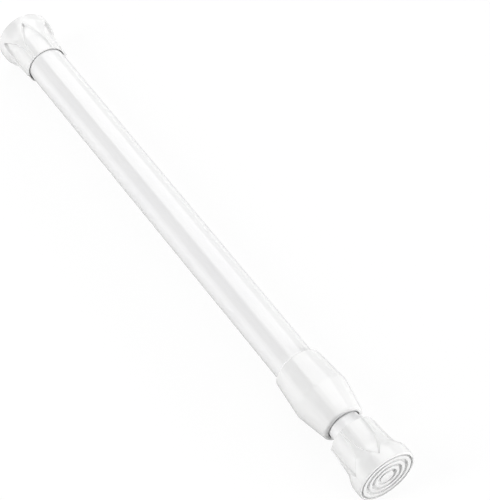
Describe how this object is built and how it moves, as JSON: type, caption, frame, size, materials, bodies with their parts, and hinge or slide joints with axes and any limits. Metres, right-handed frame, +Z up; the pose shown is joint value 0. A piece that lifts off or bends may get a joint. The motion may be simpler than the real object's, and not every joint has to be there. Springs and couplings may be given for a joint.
{
  "type": "spring tension rod",
  "caption": "Telescopic curtain rod that twists to lock its length and is pressed between walls by an inner spring, with bell-shaped arched end caps and a bulging collar.",
  "frame": {"origin": "centre of the fixed end cap's face, which presses on the wall", "axes": "+X along the rod towards the sliding end, +Z up"},
  "size_m": [0.2605, 0.0232, 0.0232],
  "materials": {
    "white_enamel": "glossy white enamel on steel tube",
    "white_plastic": "glossy moulded white plastic",
    "natural_nylon": "natural moulded nylon",
    "zinc_steel": "zinc-plated turned steel",
    "spring_steel": "drawn spring steel",
    "black_rubber": "black rubber"
  },
  "bodies": {
    "outer_tube": {"outer_tube": "white_enamel", "tube_collar": "white_plastic", "guide_bush": "natural_nylon", "fixed_end_cap": "white_plastic"},
    "guide_ring": {"guide_ring": "natural_nylon"},
    "inner_tube": {"inner_tube": "white_enamel", "sliding_end_cap": "white_plastic", "guide_plug": "natural_nylon", "plug_pins": "zinc_steel", "spring_seat": "natural_nylon", "tension_spring": "spring_steel"},
    "lock_spindle": {"lock_spindle": "zinc_steel", "end_clip": "spring_steel", "thrust_washer": "zinc_steel", "spring_piston": "natural_nylon", "piston_screw": "zinc_steel"},
    "lock_sleeve": {"lock_sleeve": "natural_nylon", "drag_ring": "black_rubber"},
    "wedge_nut": {"wedge_nut": "natural_nylon"}
  },
  "joints": [
    {"name": "telescope", "type": "slide", "parent": "outer_tube", "child": "guide_ring", "axis": [1, 0, 0], "range_m": [-0.004, 0.115]},
    {"name": "twist", "type": "hinge", "parent": "guide_ring", "child": "inner_tube", "pos_m": [0, 0, 0], "axis": [1, 0, 0], "range_deg": [0, 540]},
    {"name": "spring_travel", "type": "slide", "parent": "inner_tube", "child": "lock_spindle", "axis": [1, 0, 0], "range_m": [0, 0.016], "stiffness_N_per_m": 1200, "springref_m": -0.01, "deforming": ["tension_spring"]},
    {"name": "sleeve_turn", "type": "hinge", "parent": "lock_spindle", "child": "lock_sleeve", "pos_m": [0, 0, 0], "axis": [1, 0, 0], "range_deg": [-540, 0]},
    {"name": "wedge_travel", "type": "slide", "parent": "lock_sleeve", "child": "wedge_nut", "axis": [1, 0, 0], "range_m": [0, 0.003]}
  ],
  "couplings": [
    {"joint": "sleeve_turn", "follows": "twist", "ratio": -1},
    {"joint": "wedge_travel", "follows": "twist", "m_per_rad": 0.0003183}
  ]
}
